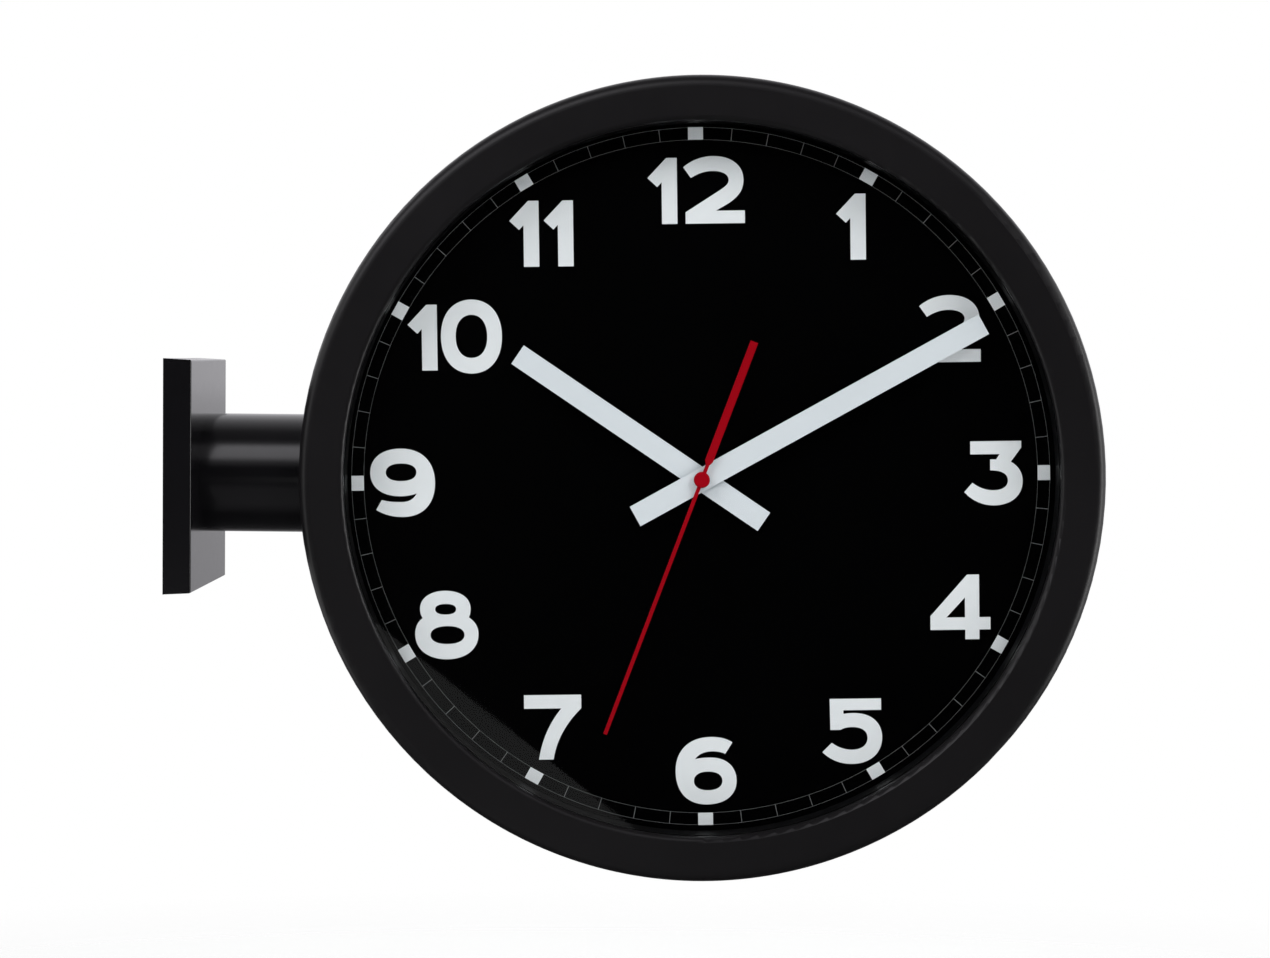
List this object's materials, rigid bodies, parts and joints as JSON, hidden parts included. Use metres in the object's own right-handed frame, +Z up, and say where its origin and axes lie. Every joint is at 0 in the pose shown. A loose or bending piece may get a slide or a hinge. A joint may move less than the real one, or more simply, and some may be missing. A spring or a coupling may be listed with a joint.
{
  "type": "double sided station clock",
  "caption": "Round double sided clock on a short wall arm: black drum, white numerals and hands on black dials, red second hands, square wall plate.",
  "frame": {"origin": "centre of the four wall screws, on the back face of the wall fixing", "axes": "+X from the wall along the arm to the clock, -Y out of the front dial, +Z up"},
  "size_m": [0.441, 0.11, 0.38],
  "materials": {
    "gloss_black": "gloss",
    "satin_black": "satin",
    "matt_black": "matt",
    "dial_black": "matt",
    "hand_white": "satin",
    "hand_red": "satin",
    "glass": "clear",
    "zinc_steel": "zinc plated",
    "black_steel": "black oxide",
    "spring_steel": "nickel plated",
    "aluminium": "milled",
    "brass": "turned",
    "black_plastic": "moulded",
    "white_plastic": "moulded",
    "board_green": "solder mask",
    "motor_copper": "enamelled wire on steel",
    "battery_sleeve": "printed sleeve, plain"
  },
  "bodies": {
    "root": {"wall_bracket": "zinc_steel", "wall_plate": "gloss_black", "bracket_grub_screws": "black_steel", "wall_end_flange": "zinc_steel", "arm_tube": "gloss_black", "case_end_flange": "zinc_steel", "backing_saddle": "aluminium", "arm_bolts": "black_steel", "case_drum": "satin_black"},
    "front_insert": {"front_bezel": "satin_black", "front_lock_screws": "black_steel", "front_glass": "glass", "front_inner_ring": "matt_black", "front_dial": "dial_black", "front_dial_screws": "zinc_steel", "front_movement_case": "black_plastic", "front_movement_cover": "black_plastic", "front_dial_washer": "black_steel", "front_fixing_nut": "black_steel", "front_battery": "battery_sleeve", "front_battery_contacts": "spring_steel", "front_circuit_board": "board_green", "front_step_motor": "motor_copper"},
    "front_second": {"front_seconds_wheel": "brass", "front_second_hand": "hand_red"},
    "front_minute": {"front_centre_wheel": "brass", "front_minute_hand": "hand_white"},
    "front_hour": {"front_hour_wheel": "white_plastic", "front_hour_hand": "hand_white"},
    "front_third": {"front_third_wheel": "white_plastic"},
    "front_intermediate": {"front_intermediate_wheel": "white_plastic"},
    "front_rotor": {"front_rotor": "white_plastic"},
    "front_motion": {"front_minute_wheel": "white_plastic", "front_setting_knob": "black_plastic"},
    "rear_insert": {"rear_bezel": "satin_black", "rear_lock_screws": "black_steel", "rear_glass": "glass", "rear_inner_ring": "matt_black", "rear_dial": "dial_black", "rear_dial_screws": "zinc_steel", "rear_movement_case": "black_plastic", "rear_movement_cover": "black_plastic", "rear_dial_washer": "black_steel", "rear_fixing_nut": "black_steel", "rear_battery": "battery_sleeve", "rear_battery_contacts": "spring_steel", "rear_circuit_board": "board_green", "rear_step_motor": "motor_copper"},
    "rear_second": {"rear_seconds_wheel": "brass", "rear_second_hand": "hand_red"},
    "rear_minute": {"rear_centre_wheel": "brass", "rear_minute_hand": "hand_white"},
    "rear_hour": {"rear_hour_wheel": "white_plastic", "rear_hour_hand": "hand_white"},
    "rear_third": {"rear_third_wheel": "white_plastic"},
    "rear_intermediate": {"rear_intermediate_wheel": "white_plastic"},
    "rear_rotor": {"rear_rotor": "white_plastic"},
    "rear_motion": {"rear_minute_wheel": "white_plastic", "rear_setting_knob": "black_plastic"}
  },
  "joints": [
    {"name": "front_insert_slide", "type": "slide", "parent": "root", "child": "front_insert", "axis": [0, -1, 0], "range_m": [0, 0.06]},
    {"name": "front_minute_turn", "type": "hinge", "parent": "front_insert", "child": "front_minute", "pos_m": [0.251, -0.02, 0], "axis": [0, 1, 0], "continuous": true},
    {"name": "front_second_turn", "type": "hinge", "parent": "front_insert", "child": "front_second", "pos_m": [0.251, -0.02, 0], "axis": [0, 1, 0], "continuous": true},
    {"name": "front_hour_turn", "type": "hinge", "parent": "front_insert", "child": "front_hour", "pos_m": [0.251, -0.02, 0], "axis": [0, 1, 0], "continuous": true},
    {"name": "front_third_turn", "type": "hinge", "parent": "front_insert", "child": "front_third", "pos_m": [0.2404, -0.02, 0.00612], "axis": [0, 1, 0], "continuous": true},
    {"name": "front_intermediate_turn", "type": "hinge", "parent": "front_insert", "child": "front_intermediate", "pos_m": [0.25416, -0.02, 0.01178], "axis": [0, 1, 0], "continuous": true},
    {"name": "front_rotor_turn", "type": "hinge", "parent": "front_insert", "child": "front_rotor", "pos_m": [0.25836, -0.02, 0.01906], "axis": [0, 1, 0], "continuous": true},
    {"name": "front_motion_turn", "type": "hinge", "parent": "front_insert", "child": "front_motion", "pos_m": [0.26331, -0.02, 0.00217], "axis": [0, 1, 0], "continuous": true},
    {"name": "rear_insert_slide", "type": "slide", "parent": "root", "child": "rear_insert", "axis": [0, 1, 0], "range_m": [0, 0.06]},
    {"name": "rear_minute_turn", "type": "hinge", "parent": "rear_insert", "child": "rear_minute", "pos_m": [0.251, 0.02, 0], "axis": [0, -1, 0], "continuous": true},
    {"name": "rear_second_turn", "type": "hinge", "parent": "rear_insert", "child": "rear_second", "pos_m": [0.251, 0.02, 0], "axis": [0, -1, 0], "continuous": true},
    {"name": "rear_hour_turn", "type": "hinge", "parent": "rear_insert", "child": "rear_hour", "pos_m": [0.251, 0.02, 0], "axis": [0, -1, 0], "continuous": true},
    {"name": "rear_third_turn", "type": "hinge", "parent": "rear_insert", "child": "rear_third", "pos_m": [0.2616, 0.02, 0.00612], "axis": [0, -1, 0], "continuous": true},
    {"name": "rear_intermediate_turn", "type": "hinge", "parent": "rear_insert", "child": "rear_intermediate", "pos_m": [0.24784, 0.02, 0.01178], "axis": [0, -1, 0], "continuous": true},
    {"name": "rear_rotor_turn", "type": "hinge", "parent": "rear_insert", "child": "rear_rotor", "pos_m": [0.24364, 0.02, 0.01906], "axis": [0, -1, 0], "continuous": true},
    {"name": "rear_motion_turn", "type": "hinge", "parent": "rear_insert", "child": "rear_motion", "pos_m": [0.23869, 0.02, 0.00217], "axis": [0, -1, 0], "continuous": true}
  ],
  "couplings": [
    {"joint": "front_second_turn", "follows": "front_minute_turn", "ratio": 60},
    {"joint": "front_hour_turn", "follows": "front_minute_turn", "ratio": 0.083333},
    {"joint": "front_third_turn", "follows": "front_minute_turn", "ratio": -8},
    {"joint": "front_intermediate_turn", "follows": "front_minute_turn", "ratio": -300},
    {"joint": "front_rotor_turn", "follows": "front_minute_turn", "ratio": 1800},
    {"joint": "front_motion_turn", "follows": "front_minute_turn", "ratio": -0.33333},
    {"joint": "rear_second_turn", "follows": "rear_minute_turn", "ratio": 60},
    {"joint": "rear_hour_turn", "follows": "rear_minute_turn", "ratio": 0.083333},
    {"joint": "rear_third_turn", "follows": "rear_minute_turn", "ratio": -8},
    {"joint": "rear_intermediate_turn", "follows": "rear_minute_turn", "ratio": -300},
    {"joint": "rear_rotor_turn", "follows": "rear_minute_turn", "ratio": 1800},
    {"joint": "rear_motion_turn", "follows": "rear_minute_turn", "ratio": -0.33333}
  ]
}
